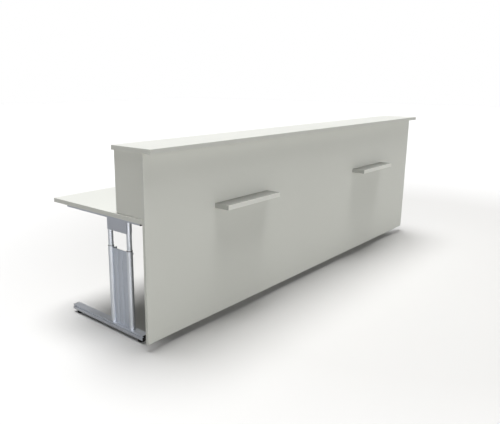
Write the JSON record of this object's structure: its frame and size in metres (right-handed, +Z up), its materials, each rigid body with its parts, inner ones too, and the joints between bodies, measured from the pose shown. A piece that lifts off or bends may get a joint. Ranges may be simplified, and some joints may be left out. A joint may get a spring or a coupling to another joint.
{
  "type": "service counter",
  "caption": "Long straight service counter: desk-height worktop, raised customer box with top board, full front panel, bag shelves, and C-foot legs with telescopic columns.",
  "frame": {"origin": "on the floor, under the middle of the whole counter", "axes": "+X along the counter, to the right of a customer who faces it; -Y towards the customer, +Y towards the staff; +Z up"},
  "size_m": [3.32, 0.945, 1.11],
  "materials": {
    "panel_board": "light grey melamine-faced board, matt",
    "top_board_finish": "light grey melamine-faced board, matt, worn slightly lighter",
    "shelf_board": "light grey melamine-faced board, matt",
    "silver_frame": "silver powder coat, satin",
    "fluted_cover": "anodised, three shallow ribs along its length",
    "zinc_steel": "bright zinc plate",
    "black_plastic": "moulded, fine texture"
  },
  "bodies": {
    "feet": {"left_foot_rail": "silver_frame", "left_foot_cap_front": "black_plastic", "left_foot_cap_rear": "black_plastic", "left_outer_tube_front": "silver_frame", "left_outer_tube_rear": "silver_frame", "left_column_cover": "fluted_cover", "middle_foot_rail": "silver_frame", "middle_foot_cap_front": "black_plastic", "middle_foot_cap_rear": "black_plastic", "middle_outer_tube_front": "silver_frame", "middle_outer_tube_rear": "silver_frame", "middle_column_cover": "fluted_cover", "right_foot_rail": "silver_frame", "right_foot_cap_front": "black_plastic", "right_foot_cap_rear": "black_plastic", "right_outer_tube_front": "silver_frame", "right_outer_tube_rear": "silver_frame", "right_column_cover": "fluted_cover"},
    "raised_top": {"front_panel": "panel_board", "worktop": "top_board_finish", "top_board": "top_board_finish", "cheek_left": "panel_board", "cheek_inner_left": "panel_board", "cheek_inner_right": "panel_board", "cheek_right": "panel_board", "left_bag_shelf": "shelf_board", "right_bag_shelf": "shelf_board", "left_shelf_pin_a": "zinc_steel", "left_shelf_pin_b": "zinc_steel", "right_shelf_pin_a": "zinc_steel", "right_shelf_pin_b": "zinc_steel", "left_crossbeam": "silver_frame", "right_crossbeam": "silver_frame", "left_inner_tube_front": "silver_frame", "left_inner_tube_rear": "silver_frame", "left_top_bracket": "silver_frame", "left_support_arm": "silver_frame", "left_arm_cap_front": "black_plastic", "left_arm_cap_rear": "black_plastic", "left_panel_angle": "zinc_steel", "middle_inner_tube_front": "silver_frame", "middle_inner_tube_rear": "silver_frame", "middle_top_bracket": "silver_frame", "middle_support_arm": "silver_frame", "middle_arm_cap_front": "black_plastic", "middle_arm_cap_rear": "black_plastic", "middle_panel_angle": "zinc_steel", "right_inner_tube_front": "silver_frame", "right_inner_tube_rear": "silver_frame", "right_top_bracket": "silver_frame", "right_support_arm": "silver_frame", "right_arm_cap_front": "black_plastic", "right_arm_cap_rear": "black_plastic", "right_panel_angle": "zinc_steel"},
    "left_front_glide": {"left_glide_front": "black_plastic"},
    "left_rear_glide": {"left_glide_rear": "black_plastic"},
    "middle_front_glide": {"middle_glide_front": "black_plastic"},
    "middle_rear_glide": {"middle_glide_rear": "black_plastic"},
    "right_front_glide": {"right_glide_front": "black_plastic"},
    "right_rear_glide": {"right_glide_rear": "black_plastic"}
  },
  "joints": [
    {"name": "height_adjust", "type": "slide", "parent": "feet", "child": "raised_top", "axis": [0, 0, 1], "range_m": [-0.03, 0.08]},
    {"name": "left_front_glide_screw", "type": "slide", "parent": "feet", "child": "left_front_glide", "axis": [0, 0, -1], "range_m": [0, 0.015]},
    {"name": "left_rear_glide_screw", "type": "slide", "parent": "feet", "child": "left_rear_glide", "axis": [0, 0, -1], "range_m": [0, 0.015]},
    {"name": "middle_front_glide_screw", "type": "slide", "parent": "feet", "child": "middle_front_glide", "axis": [0, 0, -1], "range_m": [0, 0.015]},
    {"name": "middle_rear_glide_screw", "type": "slide", "parent": "feet", "child": "middle_rear_glide", "axis": [0, 0, -1], "range_m": [0, 0.015]},
    {"name": "right_front_glide_screw", "type": "slide", "parent": "feet", "child": "right_front_glide", "axis": [0, 0, -1], "range_m": [0, 0.015]},
    {"name": "right_rear_glide_screw", "type": "slide", "parent": "feet", "child": "right_rear_glide", "axis": [0, 0, -1], "range_m": [0, 0.015]}
  ]
}
